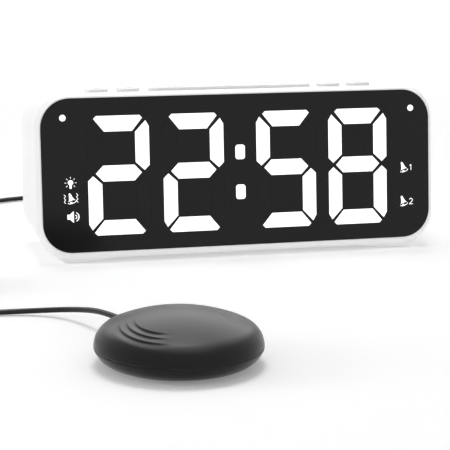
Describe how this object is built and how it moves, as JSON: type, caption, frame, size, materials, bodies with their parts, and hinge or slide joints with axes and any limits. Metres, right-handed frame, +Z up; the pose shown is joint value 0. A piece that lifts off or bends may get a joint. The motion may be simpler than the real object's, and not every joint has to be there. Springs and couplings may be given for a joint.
{
  "type": "bed shaker alarm clock",
  "caption": "Wide digital alarm clock with large lit bar numerals, top snooze bar and buttons, and a round pillow shaker on a cord plugged into its back.",
  "frame": {"origin": "on the table, under the middle of the box around the clock and the shaker without the cord", "axes": "+Z up; the clock's numerals face -Y; +X is to the right of someone who reads them"},
  "size_m": [0.2708, 0.3714, 0.0806],
  "materials": {
    "case_white": "satin",
    "door_white": "satin",
    "panel_tint": "smooth, dark tint",
    "numeral_glow": "lit from behind",
    "button_white": "satin",
    "pad_rubber": "matt",
    "reflector_white": "matt",
    "board_green": "satin",
    "switch_black": "satin",
    "screw_steel": "plain",
    "magnet_grey": "plain",
    "cone_black": "pressed paper",
    "cell_label": "plain sleeve",
    "weight_brass": "turned",
    "shaker_black": "fine satin",
    "cord_black": "satin"
  },
  "bodies": {
    "clock_and_shaker": {"front_bezel": "case_white", "rear_shell": "case_white", "display_panel": "panel_tint", "unlit_bars": "panel_tint", "hour_tens_bars": "numeral_glow", "hour_units_bars": "numeral_glow", "minute_tens_bars": "numeral_glow", "minute_units_bars": "numeral_glow", "colon_dots": "numeral_glow", "indicator_dots": "numeral_glow", "rubber_pads": "pad_rubber", "shaker_foot_pad": "pad_rubber", "reflector_block": "reflector_white", "battery_tray": "reflector_white", "led_chips": "reflector_white", "led_board": "board_green", "button_board": "board_green", "main_board": "board_green", "tact_switches": "switch_black", "shaker_socket": "switch_black", "usb_tongue": "switch_black", "mode_switch_body": "switch_black", "power_inlet": "switch_black", "motor_end_cap": "switch_black", "board_screws": "screw_steel", "case_screws": "screw_steel", "shaker_screws": "screw_steel", "usb_socket": "screw_steel", "battery_contacts": "screw_steel", "power_inlet_pin": "screw_steel", "shaker_plug_pin": "screw_steel", "motor_clamp": "screw_steel", "motor_can": "screw_steel", "speaker_basket": "screw_steel", "speaker_magnet": "magnet_grey", "speaker_cone": "cone_black", "backup_cells": "cell_label", "shaker_top_shell": "shaker_black", "shaker_bottom_shell": "shaker_black", "shaker_strain_relief": "cord_black", "shaker_cord": "cord_black", "cord_coil": "cord_black", "clock_cord": "cord_black", "shaker_plug": "cord_black", "cord_tie": "cord_black"},
    "snooze_cap": {"snooze_bar": "button_white"},
    "far_left_cap": {"button_far_left": "button_white"},
    "near_left_cap": {"button_near_left": "button_white"},
    "near_right_cap": {"button_near_right": "button_white"},
    "far_right_cap": {"button_far_right": "button_white"},
    "selector_knob": {"mode_switch_knob": "switch_black"},
    "cell_door": {"battery_door": "door_white"},
    "motor_rotor": {"motor_shaft": "screw_steel", "eccentric_weight": "weight_brass"}
  },
  "joints": [
    {"name": "snooze_press", "type": "slide", "parent": "clock_and_shaker", "child": "snooze_cap", "axis": [0, -0.1045, -0.9945], "range_m": [0, 0.0006], "stiffness_N_per_m": 400, "springref_m": -0.002},
    {"name": "far_left_press", "type": "slide", "parent": "clock_and_shaker", "child": "far_left_cap", "axis": [0, -0.1045, -0.9945], "range_m": [0, 0.0006], "stiffness_N_per_m": 400, "springref_m": -0.002},
    {"name": "near_left_press", "type": "slide", "parent": "clock_and_shaker", "child": "near_left_cap", "axis": [0, -0.1045, -0.9945], "range_m": [0, 0.0006], "stiffness_N_per_m": 400, "springref_m": -0.002},
    {"name": "near_right_press", "type": "slide", "parent": "clock_and_shaker", "child": "near_right_cap", "axis": [0, -0.1045, -0.9945], "range_m": [0, 0.0006], "stiffness_N_per_m": 400, "springref_m": -0.002},
    {"name": "far_right_press", "type": "slide", "parent": "clock_and_shaker", "child": "far_right_cap", "axis": [0, -0.1045, -0.9945], "range_m": [0, 0.0006], "stiffness_N_per_m": 400, "springref_m": -0.002},
    {"name": "selector_slide", "type": "slide", "parent": "clock_and_shaker", "child": "selector_knob", "axis": [1, 0, 0], "range_m": [-0.0025, 0.0025]},
    {"name": "door_swing", "type": "hinge", "parent": "clock_and_shaker", "child": "cell_door", "pos_m": [-0.0561, 0.12845, 0.0239], "axis": [-1, 0, 0], "range_deg": [0, 100]},
    {"name": "motor_spin", "type": "hinge", "parent": "clock_and_shaker", "child": "motor_rotor", "pos_m": [-0.0683, -0.09805, 0.0096], "axis": [1, 0, 0], "continuous": true}
  ]
}
